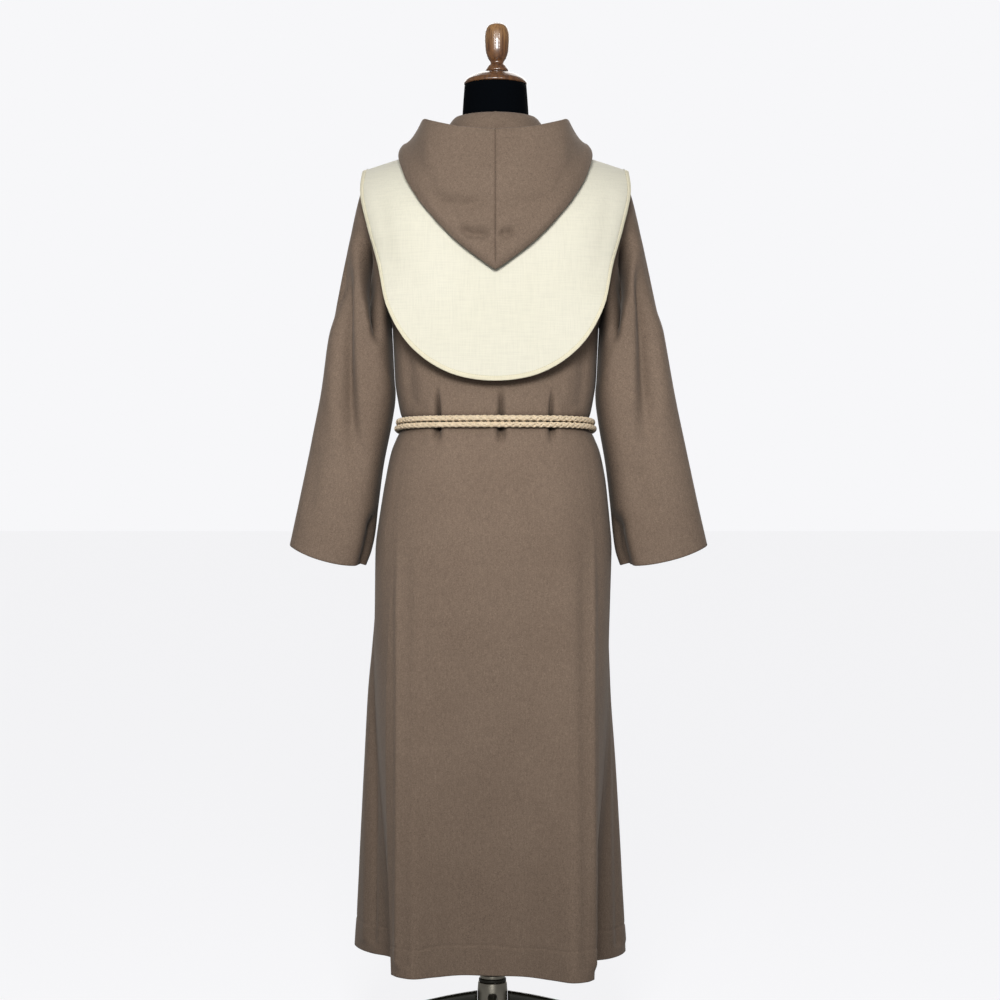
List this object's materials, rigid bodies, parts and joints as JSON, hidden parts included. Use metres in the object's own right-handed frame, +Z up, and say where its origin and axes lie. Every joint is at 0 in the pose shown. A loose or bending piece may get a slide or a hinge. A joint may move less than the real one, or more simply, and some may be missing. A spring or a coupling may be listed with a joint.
{
  "type": "nun habit on a dress form",
  "caption": "Brown wool habit with a pointed hood, cream shoulder cape, flared sleeves and a doubled rope belt, standing on a limbless dress form",
  "frame": {"origin": "on the floor under the middle of the stand and the garment", "axes": "+Z up; the wearer faces -Y and the back of the habit faces +Y; +X is the wearer's left"},
  "size_m": [0.6884, 0.573, 1.6933],
  "materials": {
    "wool": "matte, heathered",
    "cream_cloth": "matte",
    "rope": "twisted strands",
    "black_cloth": "matte, tight cover",
    "wood": "satin varnish",
    "steel": "brushed",
    "dark_paint": "satin"
  },
  "bodies": {
    "root": {"tunic_back": "wool", "tunic_front": "wool", "sleeve_left": "wool", "sleeve_right": "wool", "shoulder_cape": "cream_cloth", "hood_left": "wool", "hood_right": "wool", "belt_upper": "rope", "belt_lower": "rope", "belt_knot": "rope", "cord_tail_left": "rope", "cord_tail_right": "rope", "tail_knot_left": "rope", "tail_knot_right": "rope", "form_torso": "black_cloth", "neck_cap": "wood", "finial": "wood", "pole": "steel", "hub_collar": "steel", "hub_ring": "dark_paint", "hub": "steel", "leg_1": "dark_paint", "foot_1": "dark_paint", "leg_2": "dark_paint", "foot_2": "dark_paint", "leg_3": "dark_paint", "foot_3": "dark_paint", "leg_4": "dark_paint", "foot_4": "dark_paint"}
  },
  "joints": []
}
